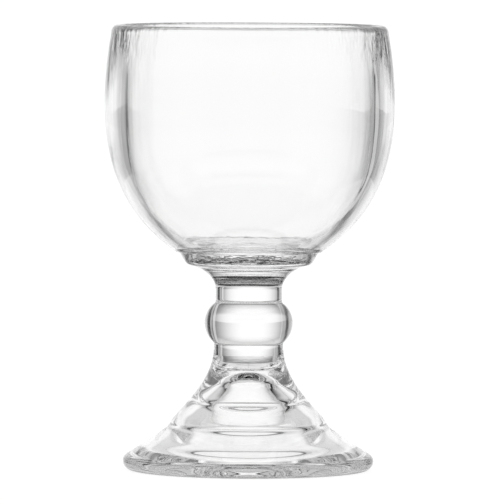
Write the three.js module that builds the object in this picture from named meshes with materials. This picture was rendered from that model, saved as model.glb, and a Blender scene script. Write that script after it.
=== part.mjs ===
// A heavy stemmed drinking glass of clear pressed glass: a thick round bowl on a collar,
// a short stem with a ring-shaped knop, and a hollow trumpet foot.
// Millimetres, +Z up, the origin on the table under the middle of the foot.
// The pieces are gathers of glass welded to each other hot, so each one ends in a flat
// round face that lies on the next piece's face.
import * as THREE from 'three';

// Fineness of the faces: sides of a round, and how far a flat may stray from an arc
const ROUND_SIDES = 48;
const CHORD_ERROR = 0.08;
const CURVE_STEPS = 8;

// Foot, outside: a rounded edge, a straight flare to a waist, and a trumpet that rises to the stem
const FOOT_HEIGHT = 41.5;
const FOOT_RADIUS = 47.9;
const EDGE_ROUND_BELOW = 3.4;
const EDGE_ROUND_ABOVE = 4.5;
const WAIST_HEIGHT = 16.5;
const WAIST_RADIUS = 30.6;
const WAIST_ROUND = 2.5;
// The trumpet leaves the waist towards the shoulder and reaches the stem from the instep.
const SHOULDER_HEIGHT = 23;
const SHOULDER_RADIUS = 26.9;
const INSTEP_HEIGHT = 30.5;
const INSTEP_RADIUS = 17;

// Foot, underneath: a flat ring to stand on, and a bell-shaped hollow with soft rings pressed in it
const REST_RING_WIDTH = 3.2;
const REST_RING_ROUND = 0.8;
const CROWN_THICKNESS = 5.8;
const BELL_CROWN_RADIUS = 10.5;
const BELL_SKIRT_HEIGHT = 14.3;
// The rings follow each other up the hollow, each one steeper below than above.
const RING_LEVEL = 4;
const RING_PITCH = 8.95;
const RING_DEPTH = 0.43;
const RING_SKEW = 0.5;

// Stem: a plain length above the foot, the knop, and a neck that flares to the collar
const STEM_HEIGHT = 7.5;
const STEM_RADIUS = 13.25;
const STEM_FOOT_RADIUS = 14;
const KNOP_HEIGHT = 14.7;
const KNOP_RADIUS = 16.85;
const NECK_HEIGHT = 14;
const NECK_RADIUS = 12.7;
const NECK_TOP_RADIUS = 20.4;
const NECK_STRAIGHT = 5.7;
const NECK_BEND = 3.3;
const NECK_LIP_REACH = 4.3;
const NECK_LIP_DROP = 1.6;

// Collar: a disc that widens upwards, with a rounded lower edge
const COLLAR_HEIGHT = 5.6;
const COLLAR_TOP_RADIUS = 26.6;
const COLLAR_EDGE_RADIUS = 24;
const COLLAR_EDGE_HEIGHT = 1;
const COLLAR_EDGE_ROUND = 1.2;

// Bowl, outside: a full underside that leaves the collar at a slope and swells to the belly, the side
// above it, and a rim melted round
const BOWL_HEIGHT = 86.7;
const SEAT_OVERHANG = 1.1;
const SEAT_SLOPE = THREE.MathUtils.degToRad(33.5);
const UNDER_PULL = 20.4;
const SIDE_PULL = 28;
const BELLY_HEIGHT = 56.6;
const BELLY_RADIUS = 55.45;
const SIDE_ARC_ABOVE = 149;
const RIM_WALL = 5.2;
const RIM_DROP = 3;

// Bowl, inside: what the plunger pressed, a tapering wall, a ball-shaped cup and a flat floor
const CAVITY_TAPER = THREE.MathUtils.degToRad(2);
const FLOOR_THICKNESS = 3.9;
const FLOOR_RADIUS = 23.5;
const FLOOR_ROUND = 2;

// An outline's point, by its distance from the axis and its height.
const at = (r, z) => new THREE.Vector2(r, z);

// Points of an arc about a centre, from one angle to another, ends included.
function arc(centre, radius, from, to) {
  const widestStep = 2 * Math.acos(1 - CHORD_ERROR / radius);
  const steps = Math.max(2, Math.ceil(Math.abs(to - from) / widestStep));
  const points = [];
  for (let i = 0; i <= steps; i += 1) {
    const angle = from + ((to - from) * i) / steps;
    points.push(at(centre.x + radius * Math.cos(angle), centre.y + radius * Math.sin(angle)));
  }
  return points;
}

// Points of the arc that stands upright at its widest point and passes through its end.
function bulge(widest, end) {
  const drop = widest.x - end.x;
  const rise = end.y - widest.y;
  const radius = (drop * drop + rise * rise) / (2 * drop);
  return arc(at(widest.x - radius, widest.y), radius, 0, Math.asin(rise / radius));
}

// Points that round off a corner between two neighbours, starting and ending a reach away from it.
function roundedCorner(before, corner, after, reach) {
  const start = corner.clone().add(before.clone().sub(corner).setLength(reach));
  const end = corner.clone().add(after.clone().sub(corner).setLength(reach));
  return new THREE.QuadraticBezierCurve(start, corner, end).getPoints(CURVE_STEPS / 2);
}

// Joins stretches of an outline and leaves out a point that repeats the one before it.
function outline(...stretches) {
  const points = [];
  for (const point of stretches.flat()) {
    const last = points[points.length - 1];
    if (!last || last.distanceTo(point) > 1e-6) points.push(point);
  }
  return points;
}

function clearGlass() {
  return new THREE.MeshStandardMaterial({
    color: 0xf0f3f3,
    roughness: 0.03,
    metalness: 0,
    transparent: true,
    opacity: 0.35,
  });
}

// A solid of revolution, from an outline that runs from the axis up the outside and back to the axis.
function turned(name, points) {
  const geometry = new THREE.LatheGeometry(points, ROUND_SIDES);
  geometry.rotateX(Math.PI / 2);
  const mesh = new THREE.Mesh(geometry, clearGlass());
  mesh.name = name;
  return mesh;
}

// The hollow under the foot: a bell from its crown to the rest ring, rippled by the soft rings,
// which fade out at both ends.
function hollowOutline(mouthRadius) {
  const crownHeight = FOOT_HEIGHT - CROWN_THICKNESS;
  const bell = new THREE.CubicBezierCurve(
    at(0, crownHeight),
    at(BELL_CROWN_RADIUS, crownHeight),
    at(BELL_CROWN_RADIUS, BELL_SKIRT_HEIGHT),
    at(mouthRadius, REST_RING_ROUND),
  );
  const steps = 5 * CURVE_STEPS;
  const points = [at(0, crownHeight)];
  for (let i = 1; i <= steps; i += 1) {
    const along = i / steps;
    const point = bell.getPointAt(along);
    const tangent = bell.getTangentAt(along);
    const turn = (2 * Math.PI * (point.y - RING_LEVEL)) / RING_PITCH;
    const wave = RING_DEPTH * Math.sin(Math.PI * along) * Math.sin(turn + RING_SKEW * Math.sin(turn));
    points.push(at(point.x - tangent.y * wave, point.y + tangent.x * wave));
  }
  return points;
}

// The edge of the foot and the straight flare that leaves it smoothly and runs up to the waist.
function edgeAndFlare(waist) {
  const below = at(FOOT_RADIUS - EDGE_ROUND_BELOW, EDGE_ROUND_BELOW);
  const above = at(FOOT_RADIUS - EDGE_ROUND_ABOVE, EDGE_ROUND_BELOW);
  const toWaist = waist.clone().sub(above);
  const leave = toWaist.angle() - Math.acos(EDGE_ROUND_ABOVE / toWaist.length());
  return outline(
    arc(below, EDGE_ROUND_BELOW, -Math.PI / 2, 0),
    arc(above, EDGE_ROUND_ABOVE, 0, leave),
  );
}

function makeFoot() {
  const waist = at(WAIST_RADIUS, WAIST_HEIGHT);
  const shoulder = at(SHOULDER_RADIUS, SHOULDER_HEIGHT);
  const instep = at(INSTEP_RADIUS, INSTEP_HEIGHT);
  const edge = edgeAndFlare(waist);
  const waistPoints = roundedCorner(edge[edge.length - 1], waist, shoulder, WAIST_ROUND);
  const waistTop = waistPoints[waistPoints.length - 1];
  const trumpet = new THREE.CubicBezierCurve(waistTop, shoulder, instep, at(STEM_FOOT_RADIUS, FOOT_HEIGHT));
  const ringRadius = FOOT_RADIUS - EDGE_ROUND_BELOW - REST_RING_WIDTH;
  return turned('foot', outline(
    hollowOutline(ringRadius - REST_RING_ROUND),
    [at(ringRadius, 0)],
    edge,
    waistPoints,
    trumpet.getPoints(2 * CURVE_STEPS),
    [at(0, FOOT_HEIGHT)],
  ));
}

function makeLowerStem() {
  const side = new THREE.QuadraticBezierCurve(
    at(STEM_FOOT_RADIUS, 0),
    at(STEM_RADIUS, STEM_HEIGHT / 2),
    at(STEM_RADIUS, STEM_HEIGHT),
  );
  return turned('lower_stem', outline([at(0, 0)], side.getPoints(CURVE_STEPS / 2), [at(0, STEM_HEIGHT)]));
}

function makeKnop() {
  const widest = at(KNOP_RADIUS, KNOP_HEIGHT / 2);
  return turned('knop', outline(
    [at(0, 0)],
    bulge(widest, at(STEM_RADIUS, 0)).reverse(),
    bulge(widest, at(NECK_RADIUS, KNOP_HEIGHT)),
    [at(0, KNOP_HEIGHT)],
  ));
}

function makeNeck() {
  const flare = new THREE.CubicBezierCurve(
    at(NECK_RADIUS, NECK_STRAIGHT),
    at(NECK_RADIUS, NECK_STRAIGHT + NECK_BEND),
    at(NECK_TOP_RADIUS - NECK_LIP_REACH, NECK_HEIGHT - NECK_LIP_DROP),
    at(NECK_TOP_RADIUS, NECK_HEIGHT),
  );
  return turned('neck', outline(
    [at(0, 0), at(NECK_RADIUS, 0)],
    flare.getPoints(CURVE_STEPS),
    [at(0, NECK_HEIGHT)],
  ));
}

function makeCollar() {
  const underside = at(NECK_TOP_RADIUS, 0);
  const edge = at(COLLAR_EDGE_RADIUS, COLLAR_EDGE_HEIGHT);
  const top = at(COLLAR_TOP_RADIUS, COLLAR_HEIGHT);
  return turned('collar', outline(
    [at(0, 0), underside],
    roundedCorner(underside, edge, top, COLLAR_EDGE_ROUND),
    [top, at(0, COLLAR_HEIGHT)],
  ));
}

function bowlOutside() {
  const seat = at(COLLAR_TOP_RADIUS + SEAT_OVERHANG, 0);
  const leaving = at(Math.cos(SEAT_SLOPE), Math.sin(SEAT_SLOPE)).multiplyScalar(UNDER_PULL).add(seat);
  const arriving = at(BELLY_RADIUS, BELLY_HEIGHT - SIDE_PULL);
  const underside = new THREE.CubicBezierCurve(seat, leaving, arriving, at(BELLY_RADIUS, BELLY_HEIGHT));
  const rimAngle = Math.asin((BOWL_HEIGHT - RIM_DROP - BELLY_HEIGHT) / SIDE_ARC_ABOVE);
  return outline(
    underside.getPoints(2 * CURVE_STEPS),
    arc(at(BELLY_RADIUS - SIDE_ARC_ABOVE, BELLY_HEIGHT), SIDE_ARC_ABOVE, 0, rimAngle),
  );
}

// The rim is rounder outside than inside, and its top is a point of both quarters.
function rimOutline(edge) {
  const half = RIM_WALL / 2;
  const middle = edge.x - half;
  const outer = new THREE.EllipseCurve(middle, edge.y, half, RIM_DROP, 0, Math.PI / 2);
  const inner = new THREE.EllipseCurve(middle, BOWL_HEIGHT - half, half, half, Math.PI / 2, Math.PI);
  return outline(outer.getPoints(CURVE_STEPS / 2), inner.getPoints(CURVE_STEPS / 2));
}

// The cup inside the bowl is a ball centred on the axis, which the tapering wall runs into smoothly
// and which passes through the edge of the floor.
function bowlInside(mouth) {
  const floorEdge = at(FLOOR_RADIUS, FLOOR_THICKNESS);
  const fall = mouth.y - FLOOR_THICKNESS;
  const reach = mouth.x * Math.cos(CAVITY_TAPER);
  const narrowing = Math.sin(CAVITY_TAPER);
  const a = 1 - narrowing ** 2;
  const b = fall - reach * narrowing;
  const c = fall ** 2 + FLOOR_RADIUS ** 2 - reach ** 2;
  const depth = (b - Math.sqrt(b * b - a * c)) / a;
  const radius = reach - depth * narrowing;
  const centre = at(0, mouth.y - depth);
  const floorAngle = Math.asin((FLOOR_THICKNESS - centre.y) / radius);
  const cup = arc(centre, radius, -CAVITY_TAPER, floorAngle + FLOOR_ROUND / radius);
  const corner = new THREE.QuadraticBezierCurve(
    cup[cup.length - 1],
    floorEdge,
    at(FLOOR_RADIUS - FLOOR_ROUND, FLOOR_THICKNESS),
  );
  return outline([mouth], cup, corner.getPoints(CURVE_STEPS / 2), [at(0, FLOOR_THICKNESS)]);
}

function makeBowl() {
  const outside = bowlOutside();
  const rim = rimOutline(outside[outside.length - 1]);
  const inside = bowlInside(rim[rim.length - 1]);
  return turned('bowl', outline([at(0, 0)], outside, rim, inside));
}

// The pieces stand on each other, each welded to the face of the one below.
const stemmedGlass = new THREE.Group();
let level = 0;
function stack(piece, height) {
  piece.position.z = level;
  stemmedGlass.add(piece);
  level += height;
}
stack(makeFoot(), FOOT_HEIGHT);
stack(makeLowerStem(), STEM_HEIGHT);
stack(makeKnop(), KNOP_HEIGHT);
stack(makeNeck(), NECK_HEIGHT);
stack(makeCollar(), COLLAR_HEIGHT);
stack(makeBowl(), BOWL_HEIGHT);

export default stemmedGlass;
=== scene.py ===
import math

import bpy
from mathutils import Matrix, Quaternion, Vector


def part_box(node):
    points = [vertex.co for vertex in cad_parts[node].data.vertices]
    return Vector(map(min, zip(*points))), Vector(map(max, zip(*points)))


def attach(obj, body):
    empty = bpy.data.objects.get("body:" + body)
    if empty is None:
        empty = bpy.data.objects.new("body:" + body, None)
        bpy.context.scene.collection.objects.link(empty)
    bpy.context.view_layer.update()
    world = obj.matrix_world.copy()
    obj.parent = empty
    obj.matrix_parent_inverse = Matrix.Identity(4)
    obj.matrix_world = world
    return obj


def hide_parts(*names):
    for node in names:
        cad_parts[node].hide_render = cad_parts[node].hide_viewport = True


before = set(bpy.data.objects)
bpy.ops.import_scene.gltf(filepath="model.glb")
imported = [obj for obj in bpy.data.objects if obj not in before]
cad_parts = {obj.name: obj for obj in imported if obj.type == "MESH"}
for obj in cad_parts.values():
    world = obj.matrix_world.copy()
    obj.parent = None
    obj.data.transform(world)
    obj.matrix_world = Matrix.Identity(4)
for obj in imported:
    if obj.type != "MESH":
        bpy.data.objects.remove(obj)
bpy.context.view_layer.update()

# Camera
# It stands almost three metres away, a little above the rim, with a long lens: the glass is seen
# nearly straight from the side, and its rim and foot as very thin ellipses. It was held a touch
# askew, so the glass leans very slightly to the right.
IMAGE_PIXELS = 500
PIXEL = 0.000382
TABLE_ROW = 469.5
MIDDLE_ROW = 249.5
CAMERA_AWAY = 2.9
CAMERA_HEIGHT = 0.228
CAMERA_ASIDE = 0.00037
CAMERA_ROLL = math.radians(0.266)

bpy.ops.object.camera_add(location=(CAMERA_ASIDE, -CAMERA_AWAY, CAMERA_HEIGHT))
camera = bpy.context.object
sight = Vector((CAMERA_ASIDE, 0, (TABLE_ROW - MIDDLE_ROW) * PIXEL)) - camera.location
level_view = sight.to_track_quat("-Z", "Y")
camera.rotation_euler = (level_view @ Quaternion((0, 0, 1), CAMERA_ROLL)).to_euler()
camera.data.lens = camera.data.sensor_width * sight.length / (IMAGE_PIXELS * PIXEL)
bpy.context.scene.camera = camera

# Foot
# A hollow trumpet of clear pressed glass that stands on a narrow, slightly worn ring. Soft rings run
# round its hollow, and the crown of the hollow is crumpled, because it cooled first. Its flat top is
# welded hot to the stem, so no face is left to see there.
foot_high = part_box("foot")[1]
FOOT_RADIUS = foot_high.x
FOOT_TOP = foot_high.z
EDGE_ROUND_BELOW = 0.0034
EDGE_ROUND_ABOVE = 0.0030
WAIST = (0.0306, 0.0165)
WAIST_ROUND = 0.0025
SHOULDER = (0.0269, 0.0230)
INSTEP = (0.0170, 0.0305)
STEM_FOOT_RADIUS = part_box("lower_stem")[1].x
REST_RING_WIDTH = 0.0032
REST_RING_ROUND = 0.0008
REST_RING_SOFT = 0.00048
CROWN_THICKNESS = 0.0058
BELL_CROWN_RADIUS = 0.0105
BELL_SKIRT_HEIGHT = 0.0143
RING_LEVEL = 0.0040
RING_PITCH = 0.00895
RING_DEPTH = 0.00043
RING_SKEW = 0.5
ROUND_SIDES = 240
ARC_STEP = math.radians(3)
SMOOTH_ANGLE = math.radians(35)
SEED_SIZE = 0.001
SAME_POINT = 1e-6


def arc(centre, radius, start, end, step=ARC_STEP):
    """Points of an arc in the outline's plane, ends included."""
    count = max(4, math.ceil(abs(end - start) / step))
    angles = [start + (end - start) * i / count for i in range(count + 1)]
    return [(centre[0] + radius * math.cos(a), centre[1] + radius * math.sin(a)) for a in angles]


def curve(*handles, steps=24):
    """Points of the smooth curve that three or four handles pull."""
    points = []
    for i in range(steps + 1):
        row = [Vector(handle) for handle in handles]
        while len(row) > 1:
            row = [a.lerp(b, i / steps) for a, b in zip(row, row[1:])]
        points.append(tuple(row[0]))
    return points


def softened(before, corner, after, reach):
    """Points that round off a corner, starting and ending a reach away from it."""
    corner = Vector(corner)
    start = corner + (Vector(before) - corner).normalized() * reach
    end = corner + (Vector(after) - corner).normalized() * reach
    return curve(start, corner, end, steps=10)


def straight(start, end, steps=8):
    """Points along a straight stretch, so that its faces stay short."""
    return [tuple(Vector(start).lerp(Vector(end), i / steps)) for i in range(steps + 1)]


def turn(name, outline):
    """Draws an outline point by point from the axis back to the axis, and spins it into a solid."""
    bpy.ops.object.select_all(action="DESELECT")
    bpy.ops.mesh.primitive_plane_add(size=SEED_SIZE, location=(0, 0, outline[0][1]))
    piece = bpy.context.object
    piece.name = name
    bpy.ops.object.transform_apply(location=True)
    bpy.ops.object.mode_set(mode="EDIT")
    bpy.ops.mesh.select_all(action="SELECT")
    bpy.ops.mesh.merge(type="CENTER")
    here = Vector(outline[0])
    for point in outline[1:]:
        step = Vector(point) - here
        if step.length > SAME_POINT:
            bpy.ops.mesh.extrude_vertices_move(TRANSFORM_OT_translate={"value": (step.x, 0, step.y)})
            here = Vector(point)
    bpy.ops.mesh.select_all(action="SELECT")
    bpy.ops.mesh.spin(steps=ROUND_SIDES, angle=2 * math.pi, center=(0, 0, 0), axis=(0, 0, 1))
    bpy.ops.mesh.select_all(action="SELECT")
    bpy.ops.mesh.remove_doubles(threshold=SAME_POINT)
    bpy.ops.mesh.normals_make_consistent(inside=False)
    bpy.ops.object.mode_set(mode="OBJECT")
    bpy.ops.object.shade_smooth_by_angle(angle=SMOOTH_ANGLE)
    return piece


def hollow_outline(mouth):
    """The bell under the foot from its crown to its mouth, with rings that fade out at both ends."""
    crown = (0, FOOT_TOP - CROWN_THICKNESS)
    bell = curve(
        crown,
        (BELL_CROWN_RADIUS, crown[1]),
        (BELL_CROWN_RADIUS, BELL_SKIRT_HEIGHT),
        mouth,
        steps=160,
    )
    lengths = [0.0]
    for a, b in zip(bell, bell[1:]):
        lengths.append(lengths[-1] + (Vector(b) - Vector(a)).length)
    points = [crown]
    for before, point, after, length in zip(bell, bell[1:], bell[2:], lengths[1:]):
        fade = math.sin(math.pi * length / lengths[-1])
        swing = 2 * math.pi * (point[1] - RING_LEVEL) / RING_PITCH
        wave = RING_DEPTH * fade * math.sin(swing + RING_SKEW * math.sin(swing))
        tangent = (Vector(after) - Vector(before)).normalized()
        points.append((point[0] - tangent.y * wave, point[1] + tangent.x * wave))
    return points + [mouth]


ring_radius = FOOT_RADIUS - EDGE_ROUND_BELOW - REST_RING_WIDTH
edge_above = Vector((FOOT_RADIUS - EDGE_ROUND_ABOVE, EDGE_ROUND_BELOW))
to_waist = Vector(WAIST) - edge_above
flare_angle = math.atan2(to_waist.y, to_waist.x) - math.acos(EDGE_ROUND_ABOVE / to_waist.length)
edge = arc((FOOT_RADIUS - EDGE_ROUND_BELOW, EDGE_ROUND_BELOW), EDGE_ROUND_BELOW, -math.pi / 2, 0)
edge += arc(edge_above, EDGE_ROUND_ABOVE, 0, flare_angle)
waist = softened(edge[-1], WAIST, SHOULDER, WAIST_ROUND)
hollow = hollow_outline((ring_radius - REST_RING_ROUND, REST_RING_ROUND))
ring_inside = softened(hollow[-1], (ring_radius, 0), edge[0], REST_RING_SOFT)
trumpet = curve(waist[-1], SHOULDER, INSTEP, (STEM_FOOT_RADIUS, FOOT_TOP), steps=48)
foot_outline = hollow + ring_inside + edge + straight(edge[-1], waist[0]) + waist + trumpet
foot = turn("trumpet_foot", foot_outline + [(0, FOOT_TOP)])

GLASS_IOR = 1.52
CLEAR = (1, 1, 1, 1)
WEAR_HEIGHT = 0.0008
FLAT = 0.99
SAME_HEIGHT = 1e-5
FACING_IN = -1e-6
FACING_DOWN = -0.9


def add_node(tree, kind, **settings):
    """A new node with its settings."""
    made = tree.nodes.new(kind)
    for key, value in settings.items():
        setattr(made, key, value)
    return made


def feed(tree, socket, value):
    """Gives a socket a plain value, or a wire from another node."""
    if isinstance(value, bpy.types.NodeSocket):
        tree.links.new(value, socket)
    else:
        socket.default_value = value


def number(tree, operation, *values):
    """The outcome of a sum on numbers, each one plain or from another node."""
    made = add_node(tree, "ShaderNodeMath", operation=operation)
    for socket, value in zip(made.inputs, values):
        feed(tree, socket, value)
    return made.outputs[0]


def ramp(tree, value, start, end):
    """0 at start and 1 at end, with a soft slope between."""
    made = add_node(tree, "ShaderNodeMapRange", interpolation_type="SMOOTHSTEP")
    for socket, given in zip(made.inputs[:3], (value, start, end)):
        feed(tree, socket, given)
    return made.outputs[0]


def split(tree, place):
    """The X, Y and Z of a place."""
    made = add_node(tree, "ShaderNodeSeparateXYZ")
    feed(tree, made.inputs[0], place)
    return made.outputs


def unevenness(tree, place, grain, depth):
    """Soft hills of a depth in metres; the grain tells how many come to a metre along each axis."""
    spread = add_node(tree, "ShaderNodeVectorMath", operation="MULTIPLY")
    feed(tree, spread.inputs[0], place)
    feed(tree, spread.inputs[1], grain)
    hills = add_node(tree, "ShaderNodeTexNoise")
    feed(tree, hills.inputs["Vector"], spread.outputs[0])
    feed(tree, hills.inputs["Scale"], 1)
    return number(tree, "MULTIPLY", hills.outputs["Fac"], depth)


def make_glass_skin():
    """The skin of pressed glass: waves everywhere, chill marks in a zone, and wear where it stands."""
    group = bpy.data.node_groups.new("glass_skin", "ShaderNodeTree")
    for name in ("Wave Grain", "Chill Grain"):
        group.interface.new_socket(name, in_out="INPUT", socket_type="NodeSocketVector")
    for name in ("Wave Depth", "Chill Depth", "Chill Level", "Chill Start", "Chill Full", "Wear"):
        group.interface.new_socket(name, in_out="INPUT", socket_type="NodeSocketFloat")
    for name in ("Height", "Roughness"):
        group.interface.new_socket(name, in_out="OUTPUT", socket_type="NodeSocketFloat")
    given = add_node(group, "NodeGroupInput").outputs
    place = add_node(group, "ShaderNodeTexCoord").outputs["Object"]
    height = split(group, place)["Z"]
    waves = unevenness(group, place, given["Wave Grain"], given["Wave Depth"])
    chill = unevenness(group, place, given["Chill Grain"], given["Chill Depth"])
    away = number(group, "ABSOLUTE", number(group, "SUBTRACT", height, given["Chill Level"]))
    zone = ramp(group, away, given["Chill Start"], given["Chill Full"])
    worn = ramp(group, height, WEAR_HEIGHT, 0)
    made = add_node(group, "NodeGroupOutput").inputs
    feed(group, made["Height"], number(group, "ADD", waves, number(group, "MULTIPLY", chill, zone)))
    feed(group, made["Roughness"], number(group, "MULTIPLY", worn, given["Wear"]))
    return group


glass_skin = make_glass_skin()


def pressed_glass(name, **skin):
    """Clear colourless glass, smooth but for its wear, whose skin carries the marks of the mould."""
    material = bpy.data.materials.new(name)
    material.use_nodes = True
    tree = material.node_tree
    shader = tree.nodes["Principled BSDF"]
    shader.inputs["Base Color"].default_value = CLEAR
    shader.inputs["Roughness"].default_value = 0
    shader.inputs["IOR"].default_value = GLASS_IOR
    shader.inputs["Transmission Weight"].default_value = 1
    marks = add_node(tree, "ShaderNodeGroup", node_tree=glass_skin)
    for key, value in skin.items():
        marks.inputs[key.replace("_", " ").title()].default_value = value
    bump = add_node(tree, "ShaderNodeBump")
    bump.inputs["Distance"].default_value = 1
    feed(tree, bump.inputs["Height"], marks.outputs["Height"])
    feed(tree, shader.inputs["Normal"], bump.outputs["Normal"])
    if "wear" in skin:
        feed(tree, shader.inputs["Roughness"], marks.outputs["Roughness"])
    return material


def weld_face():
    """The welded faces let the light pass as if nothing were there."""
    material = bpy.data.materials.new("weld")
    material.use_nodes = True
    material.node_tree.nodes["Principled BSDF"].inputs["Alpha"].default_value = 0
    return material


weld = weld_face()


def finish_glass(piece, node, glass, welds):
    """Gives a piece its glass, and no look to its flat faces within the welds' heights and radii."""
    piece.data.materials.append(glass)
    piece.data.materials.append(weld)
    for face in piece.data.polygons:
        for height, radius in welds:
            flat = abs(face.normal.z) > FLAT and abs(face.center.z - height) < SAME_HEIGHT
            if flat and math.hypot(face.center.x, face.center.y) < radius:
                face.material_index = 1
    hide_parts(node)
    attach(piece, "root")


foot_glass = pressed_glass(
    "foot_glass",
    wave_grain=(60, 60, 120),
    wave_depth=0.00004,
    chill_grain=(150, 150, 700),
    chill_depth=0.00006,
    chill_start=0.030,
    chill_full=0.037,
    wear=0.1,
)
finish_glass(foot, "foot", foot_glass, [(FOOT_TOP, STEM_FOOT_RADIUS)])

hollow_glass = pressed_glass(
    "hollow_glass",
    wave_grain=(60, 60, 120),
    wave_depth=0.00004,
    chill_grain=(180, 180, 300),
    chill_depth=0.0002,
    chill_start=0.027,
    chill_full=0.031,
    wear=0.1,
)
foot.data.materials.append(hollow_glass)
for face in foot.data.polygons:
    outwards = face.normal.x * face.center.x + face.normal.y * face.center.y
    in_hollow = outwards < FACING_IN or face.normal.z < FACING_DOWN
    if in_hollow and face.material_index == 0:
        face.material_index = 2

# Lower stem
# A short plain length of solid glass between the foot and the knop, drawn out a little where it
# leaves the foot. It is welded to both, and swells a little into the weld under the knop.
STEM_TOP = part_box("lower_stem")[1].z
STEM_RADIUS = 0.01325
GROOVE_WIDTH = 0.0004
GROOVE_HEIGHT = 0.0013


def groove(radius, weld_height, up):
    """The small hollow curve with which a straight length of stem runs into the weld."""
    ease = GROOVE_HEIGHT if up else -GROOVE_HEIGHT
    return curve(
        (radius + GROOVE_WIDTH, weld_height),
        (radius, weld_height + ease / 3),
        (radius, weld_height + ease),
        steps=12,
    )


stem_side = curve(
    (STEM_FOOT_RADIUS, FOOT_TOP),
    (STEM_RADIUS, (FOOT_TOP + STEM_TOP) / 2),
    (STEM_RADIUS, STEM_TOP - GROOVE_HEIGHT),
)
stem_side += groove(STEM_RADIUS, STEM_TOP, False)[::-1]
stem_weld = STEM_RADIUS + GROOVE_WIDTH
lower_stem = turn("plain_stem", [(0, FOOT_TOP)] + stem_side + [(0, STEM_TOP)])
stem_glass = pressed_glass(
    "stem_glass",
    wave_grain=(500, 500, 1000),
    wave_depth=0.000004,
    chill_grain=(150, 150, 700),
    chill_depth=0.00006,
    chill_start=0.047,
    chill_full=0.042,
)
stem_welds = [(FOOT_TOP, STEM_FOOT_RADIUS), (STEM_TOP, stem_weld)]
finish_glass(lower_stem, "lower_stem", stem_glass, stem_welds)

# Knop
# The ring-shaped swelling of solid glass that the fingers hold, with a groove above and below it
# where it was welded to the stem and the neck.
knop_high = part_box("knop")[1]
KNOP_RADIUS = knop_high.x
KNOP_TOP = knop_high.z
NECK_RADIUS = 0.0127


def bulge(widest, end):
    """Points of the arc that stands upright at its widest point and passes through its end."""
    drop = widest[0] - end[0]
    rise = end[1] - widest[1]
    radius = (drop * drop + rise * rise) / (2 * drop)
    return arc((widest[0] - radius, widest[1]), radius, 0, math.asin(rise / radius))


knop_widest = (KNOP_RADIUS, (STEM_TOP + KNOP_TOP) / 2)
neck_weld = NECK_RADIUS + GROOVE_WIDTH
knop_below = bulge(knop_widest, (stem_weld, STEM_TOP))[::-1]
knop_above = bulge(knop_widest, (neck_weld, KNOP_TOP))
knop = turn("knop_ring", [(0, STEM_TOP)] + knop_below + knop_above + [(0, KNOP_TOP)])
knop_glass = pressed_glass(
    "knop_glass",
    wave_grain=(150, 150, 250),
    wave_depth=0.00001,
    chill_grain=(500, 500, 1500),
    chill_depth=0.00003,
    chill_level=knop_widest[1],
    chill_start=0.0062,
    chill_full=0.0072,
)
finish_glass(knop, "knop", knop_glass, [(STEM_TOP, stem_weld), (KNOP_TOP, neck_weld)])

# Neck
# The upper stem of solid glass, which rises straight from its weld on the knop and then flares out
# to carry the collar.
neck_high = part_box("neck")[1]
NECK_TOP = neck_high.z
NECK_TOP_RADIUS = neck_high.x
NECK_STRAIGHT = 0.0057
NECK_BEND = 0.0033
NECK_LIP_REACH = 0.0043
NECK_LIP_DROP = 0.0016
bend = KNOP_TOP + NECK_STRAIGHT
neck_flare = curve(
    (NECK_RADIUS, bend),
    (NECK_RADIUS, bend + NECK_BEND),
    (NECK_TOP_RADIUS - NECK_LIP_REACH, NECK_TOP - NECK_LIP_DROP),
    (NECK_TOP_RADIUS, NECK_TOP),
    steps=40,
)
neck_side = groove(NECK_RADIUS, KNOP_TOP, True)
neck_side += straight((NECK_RADIUS, KNOP_TOP + GROOVE_HEIGHT), (NECK_RADIUS, bend))
neck = turn("flared_neck", [(0, KNOP_TOP)] + neck_side + neck_flare + [(0, NECK_TOP)])
neck_glass = pressed_glass(
    "neck_glass",
    wave_grain=(500, 500, 1000),
    wave_depth=0.000004,
    chill_grain=(250, 250, 900),
    chill_depth=0.00002,
    chill_start=0.068,
    chill_full=0.076,
)
finish_glass(neck, "neck", neck_glass, [(KNOP_TOP, neck_weld), (NECK_TOP, NECK_TOP_RADIUS)])

# Collar
# A disc of solid glass that widens upwards from a rounded lower edge and carries the bowl. The
# mould met the bowl's here, so its skin is crumpled all over.
collar_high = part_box("collar")[1]
COLLAR_TOP = collar_high.z
COLLAR_TOP_RADIUS = collar_high.x
COLLAR_EDGE_RADIUS = 0.0240
COLLAR_EDGE_LIFT = 0.0010
COLLAR_EDGE_ROUND = 0.0012
collar_under = (NECK_TOP_RADIUS, NECK_TOP)
collar_edge = (COLLAR_EDGE_RADIUS, NECK_TOP + COLLAR_EDGE_LIFT)
collar_rim = (COLLAR_TOP_RADIUS, COLLAR_TOP)
collar_corner = softened(collar_under, collar_edge, collar_rim, COLLAR_EDGE_ROUND)
collar_side = straight(collar_under, collar_corner[0]) + collar_corner
collar_side += straight(collar_corner[-1], collar_rim)
collar = turn("collar_disc", [(0, NECK_TOP)] + collar_side + [(0, COLLAR_TOP)])
collar_glass = pressed_glass(
    "collar_glass",
    wave_grain=(120, 120, 700),
    wave_depth=0.0001,
    chill_grain=(300, 300, 300),
    chill_depth=0.0001,
    chill_start=0.077,
    chill_full=0.082,
)
finish_glass(collar, "collar", collar_glass, [collar_under[::-1], collar_rim[::-1]])

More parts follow.
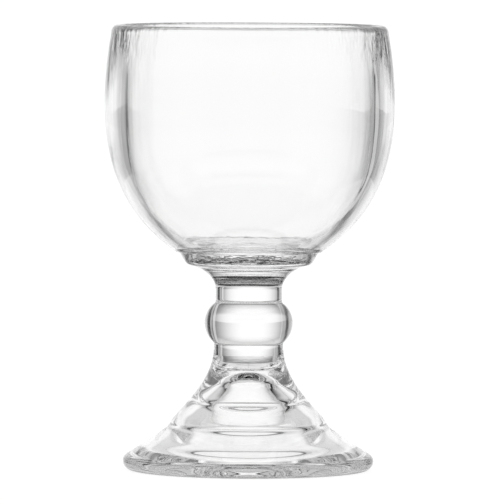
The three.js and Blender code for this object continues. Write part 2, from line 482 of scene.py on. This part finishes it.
# Bowl
# A thick round bowl pressed with a plunger: the outside swells to a belly, and the inside tapers
# straight down and eases into a round cup with a flat floor. Its rim was melted round in the fire.
bowl_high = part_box("bowl")[1]
BOWL_TOP = bowl_high.z
BELLY_RADIUS = bowl_high.x
BELLY_HEIGHT = 0.0566
SEAT_RADIUS = 0.0277
SEAT_SLOPE = math.radians(33.5)
UNDER_PULL = 0.0204
SIDE_PULL = 0.0280
UPPER_PULL = 0.0078
RIM_PULL = 0.0091
UPPER_ARC = 0.149
RIM_WALL = 0.0052
RIM_DROP = 0.0030
RIM_STEP = math.radians(6)
CAVITY_TAPER = math.radians(2)
EASE_ABOVE = 0.015
EASE_TURN = math.radians(20)
EASE_SHARE = 0.2
FLOOR_THICKNESS = 0.0039
FLOOR_RADIUS = 0.0235
FLOOR_ROUND = 0.0020
CUP_STEP = math.radians(1)


def cup_ball(mouth, floor):
    """The ball of the cup: the tapering wall runs into it, and it passes through the floor's edge."""
    fall = mouth[1] - floor
    reach = mouth[0] * math.cos(CAVITY_TAPER)
    narrowing = math.sin(CAVITY_TAPER)
    a = 1 - narrowing ** 2
    b = fall - reach * narrowing
    c = fall ** 2 + FLOOR_RADIUS ** 2 - reach ** 2
    depth = (b - math.sqrt(b * b - a * c)) / a
    return mouth[1] - depth, reach - depth * narrowing


seat = Vector((SEAT_RADIUS, COLLAR_TOP))
seat_handle = seat + Vector((math.cos(SEAT_SLOPE), math.sin(SEAT_SLOPE))) * UNDER_PULL
belly = Vector((BELLY_RADIUS, COLLAR_TOP + BELLY_HEIGHT))
upright = Vector((0, 1))
outside = curve(seat, seat_handle, belly - upright * SIDE_PULL, belly, steps=90)
rim_low = BOWL_TOP - RIM_DROP
rim_angle = math.asin((rim_low - belly.y) / UPPER_ARC)
rim_start = Vector((belly.x - UPPER_ARC * (1 - math.cos(rim_angle)), rim_low))
leaning_in = Vector((-math.sin(rim_angle), math.cos(rim_angle)))
rim_handle = rim_start - leaning_in * RIM_PULL
outside += curve(belly, belly + upright * UPPER_PULL, rim_handle, rim_start, steps=40)

rim_half = RIM_WALL / 2
rim_middle = rim_start.x - rim_half
rim_quarter = arc((0, 0), 1, 0, math.pi / 2, RIM_STEP)
rim = [(rim_middle + rim_half * x, rim_low + RIM_DROP * y) for x, y in rim_quarter]
rim += arc((rim_middle, BOWL_TOP - rim_half), rim_half, math.pi / 2, math.pi, RIM_STEP)

mouth = Vector(rim[-1])
floor_height = COLLAR_TOP + FLOOR_THICKNESS
cup_height, cup_radius = cup_ball(mouth, floor_height)
cup_end = math.asin((floor_height - cup_height) / cup_radius) + FLOOR_ROUND / cup_radius
cup = arc((0, cup_height), cup_radius, -CAVITY_TAPER - EASE_TURN, cup_end, CUP_STEP)
wall_height = cup_height - cup_radius * math.sin(CAVITY_TAPER)
wall_end = Vector((cup_radius * math.cos(CAVITY_TAPER), wall_height))
down = (wall_end - mouth).normalized()
ease_start = wall_end - down * EASE_ABOVE
ease_corner = wall_end + down * cup_radius * math.tan(EASE_TURN / 2)
ease = curve(ease_start, wall_end.lerp(ease_corner, EASE_SHARE), ease_corner, cup[0], steps=36)
floor_flat = (FLOOR_RADIUS - FLOOR_ROUND, floor_height)
floor_edge = curve(cup[-1], (FLOOR_RADIUS, floor_height), floor_flat, steps=12)
inside = straight(mouth, ease_start, steps=16) + ease + cup + floor_edge
inside += straight(floor_flat, (0, floor_height))
bowl = turn("round_bowl", [(0, COLLAR_TOP), collar_rim] + outside + rim + inside)
bowl_glass = pressed_glass(
    "bowl_glass",
    wave_grain=(200, 200, 12),
    wave_depth=0.00004,
    chill_grain=(220, 220, 80),
    chill_depth=0.0003,
    chill_start=0.150,
    chill_full=0.166,
)
finish_glass(bowl, "bowl", bowl_glass, [collar_rim[::-1]])

# Table
# A small pale table top, on which the glass throws a soft shadow that the camera sees faintly.
# Seen by way of the glass, its shine is painted light and shade: a painted bright pool in the
# middle, inside a painted ring of shadow under the foot's edge. It fades out into the white all round.
TABLE_RADIUS = 0.053
TABLE_FADE = 0.010
TABLE_SIDES = 96
TABLE_GLOW = 0.9
TABLE_LEVEL = 0.8
# The pool of light and the ring of shadow below are painted into the table's shine for glass rays.
PAINTED_POOL_RADIUS = 0.037
PAINTED_POOL_FADE = 0.008
PAINTED_SHADOW_RADIUS = 0.046
PAINTED_SHADOW_FADE = 0.004
PAINTED_SHADOW_LEVEL = 0.2
PAPER_DROP = 0.0002
PAPER_WHITE = (0.95, 0.95, 0.95, 1)


def white_paper(name):
    """White paper, and its sockets for how bright it shines, how much of it shines, and where it is."""
    material = bpy.data.materials.new(name)
    material.use_nodes = True
    tree = material.node_tree
    tree.nodes.clear()
    paint = add_node(tree, "ShaderNodeBsdfDiffuse")
    paint.inputs["Color"].default_value = PAPER_WHITE
    shine = add_node(tree, "ShaderNodeEmission")
    lit = add_node(tree, "ShaderNodeMixShader")
    feed(tree, lit.inputs[1], paint.outputs[0])
    feed(tree, lit.inputs[2], shine.outputs[0])
    faded = add_node(tree, "ShaderNodeMixShader")
    feed(tree, faded.inputs[1], add_node(tree, "ShaderNodeBsdfTransparent").outputs[0])
    feed(tree, faded.inputs[2], lit.outputs[0])
    feed(tree, add_node(tree, "ShaderNodeOutputMaterial").inputs[0], faded.outputs[0])
    return material, shine.inputs["Strength"], lit.inputs[0], faded.inputs[0]


def within(tree, away, half, soft):
    """1 nearer than half a width and 0 further away, with a soft edge."""
    return ramp(tree, away, half + soft / 2, half - soft / 2)


def ways_of_seeing(tree):
    """Two sockets: one is 1 where the camera looks straight on, and one where it looks by way of glass."""
    rays = add_node(tree, "ShaderNodeLightPath").outputs
    by_glass = number(tree, "MAXIMUM", rays["Is Glossy Ray"], rays["Is Transmission Ray"])
    return rays["Is Camera Ray"], by_glass


bpy.ops.object.select_all(action="DESELECT")
bpy.ops.mesh.primitive_circle_add(vertices=TABLE_SIDES, radius=TABLE_RADIUS, fill_type="NGON")
bpy.ops.transform.translate(value=(0, 0, -PAPER_DROP))
bpy.ops.object.transform_apply(location=True)
table = bpy.context.object
table.name = "table_top"

table_paint, brightness, glow, there = white_paper("table_white")
tree = table_paint.node_tree
distance = add_node(tree, "ShaderNodeVectorMath", operation="LENGTH")
feed(tree, distance.inputs[0], add_node(tree, "ShaderNodeTexCoord").outputs["Object"])
from_axis = distance.outputs["Value"]
# Painted light and shade: a bright pool in the middle, a painted shadow ring under the foot's edge, then
# the table level beyond it.
painted_pool = within(tree, from_axis, PAINTED_POOL_RADIUS, PAINTED_POOL_FADE)
past_painted_shadow = number(tree, "SUBTRACT", 1, within(tree, from_axis, PAINTED_SHADOW_RADIUS, PAINTED_SHADOW_FADE))
painted_pool_or_table = number(tree, "MAXIMUM", painted_pool, number(tree, "MULTIPLY", past_painted_shadow, TABLE_LEVEL))
painted_light_and_shade = number(tree, "MAXIMUM", painted_pool_or_table, PAINTED_SHADOW_LEVEL)
bare, by_glass = ways_of_seeing(tree)
# The camera sees the table plain white; by way of the glass it shows the painted pool and shadow ring.
feed(tree, brightness, number(tree, "MAXIMUM", bare, painted_light_and_shade))
feed(tree, glow, number(tree, "MAXIMUM", number(tree, "MULTIPLY", bare, TABLE_GLOW), by_glass))
feed(tree, there, ramp(tree, from_axis, TABLE_RADIUS, TABLE_RADIUS - TABLE_FADE))
table.data.materials.append(table_paint)

# Sweep
# White paper that lies level with the table, starts a hand's span behind the glass and runs back
# towards the backdrop. It fades out at its near end and at both sides.
SWEEP_START = 0.22
SWEEP_END = 2.50
SWEEP_WIDTH = 2.00
SWEEP_FADE = 0.12
BACKDROP_LEVEL = 1.05
BACKDROP_MIDDLE = -3
BACKDROP_HALF = 32
BACKDROP_SOFT = 50


def bearing(tree, axes):
    """The degrees round the glass at which a place lies: 0 is behind it, and 90 to its right."""
    return number(tree, "DEGREES", number(tree, "ARCTAN2", axes["X"], axes["Y"]))


def apart(tree, angle, middle):
    """How many degrees an angle lies away from a middle one, to either side."""
    turned = number(tree, "WRAP", number(tree, "SUBTRACT", angle, middle), 180, -180)
    return number(tree, "ABSOLUTE", turned)


bpy.ops.object.select_all(action="DESELECT")
bpy.ops.mesh.primitive_plane_add(size=1)
bpy.ops.transform.resize(value=(SWEEP_WIDTH, SWEEP_END - SWEEP_START, 1))
bpy.ops.transform.translate(value=(0, (SWEEP_START + SWEEP_END) / 2, -PAPER_DROP))
bpy.ops.object.transform_apply(location=True, scale=True)
sweep = bpy.context.object
sweep.name = "paper_sweep"

sweep_paper, brightness, glow, there = white_paper("sweep_white")
tree = sweep_paper.node_tree
axes = split(tree, add_node(tree, "ShaderNodeTexCoord").outputs["Object"])
near = ramp(tree, axes["Y"], SWEEP_START, SWEEP_START + SWEEP_FADE)
aside = apart(tree, bearing(tree, axes), BACKDROP_MIDDLE)
feed(tree, brightness, BACKDROP_LEVEL)
feed(tree, glow, 1)
feed(tree, there, number(tree, "MULTIPLY", near, within(tree, aside, BACKDROP_HALF, BACKDROP_SOFT)))
sweep.data.materials.append(sweep_paper)

# Studio
# Bright panels stand round the glass with dim gaps between them, which draw the dark lines along
# its edges, and a pale floor lies all round. The camera itself sees plain white, and the table gets
# plain even light.
world = bpy.data.worlds.new("studio")
bpy.context.scene.world = world
world.use_nodes = True
tree = world.node_tree
tree.nodes.clear()
axes = split(tree, add_node(tree, "ShaderNodeTexCoord").outputs["Generated"])
azimuth = bearing(tree, axes)
elevation = number(tree, "DEGREES", number(tree, "ARCSINE", axes["Z"]))


def panel(across, up, level):
    """A bright panel by its middle, half size and softness in degrees, round the glass and upwards."""
    middle, half, soft = across
    wide = within(tree, apart(tree, azimuth, middle), half, soft)
    middle, half, soft = up
    tall = within(tree, apart(tree, elevation, middle), half, soft)
    return number(tree, "MULTIPLY", number(tree, "MULTIPLY", wide, tall), level)


panels = [
    # The backdrop, and the wall that goes on above it
    panel(
        across=(BACKDROP_MIDDLE, BACKDROP_HALF, BACKDROP_SOFT),
        up=(-0.5, 21, 18),
        level=BACKDROP_LEVEL,
    ),
    panel(across=(BACKDROP_MIDDLE, 45, 30), up=(34, 20, 12), level=0.7),
    # A bright and a dim strip to the right of it, and the same to the left
    panel(across=(41.5, 3, 2), up=(0, 32, 10), level=0.62),
    panel(across=(49, 3, 3), up=(0, 32, 10), level=0.42),
    panel(across=(-38.5, 1.2, 1), up=(0, 32, 10), level=0.62),
    panel(across=(-41, 7, 4), up=(0, 32, 10), level=0.42),
    # The walls at both sides
    panel(across=(100, 36, 6), up=(12, 22, 12), level=0.55),
    panel(across=(-100, 43, 12), up=(12, 22, 12), level=0.55),
    # In front: a low white board, the dim room, and a long lamp above
    panel(across=(180, 60, 12), up=(-38, 20, 8), level=0.7),
    panel(across=(180, 50, 10), up=(-2, 20, 10), level=0.5),
    panel(across=(180, 60, 10), up=(34, 6, 6), level=0.6),
    # The pale floor: further off at the sides and in front, and close by all round
    panel(across=(180, 112, 20), up=(-20, 13, 18), level=0.7),
    panel(across=(180, 180, 1), up=(-65, 37, 14), level=0.75),
]
studio = panels[0]
for other in panels[1:]:
    studio = number(tree, "MAXIMUM", studio, other)
bare, by_glass = ways_of_seeing(tree)
plain = number(tree, "MAXIMUM", bare, number(tree, "SUBTRACT", 1, by_glass))
light = add_node(tree, "ShaderNodeBackground")
feed(tree, light.inputs["Color"], number(tree, "MAXIMUM", plain, studio))
feed(tree, add_node(tree, "ShaderNodeOutputWorld").inputs[0], light.outputs[0])

# Picture
# Plain colours, and enough bounces for light that crosses many faces of glass on its way, and the
# faces inside the welds as well.
GLASS_BOUNCES = 32
WELD_CROSSINGS = 64
scene = bpy.context.scene
scene.view_settings.view_transform = "Standard"
scene.cycles.max_bounces = GLASS_BOUNCES
scene.cycles.transmission_bounces = GLASS_BOUNCES
scene.cycles.glossy_bounces = GLASS_BOUNCES
scene.cycles.transparent_max_bounces = WELD_CROSSINGS
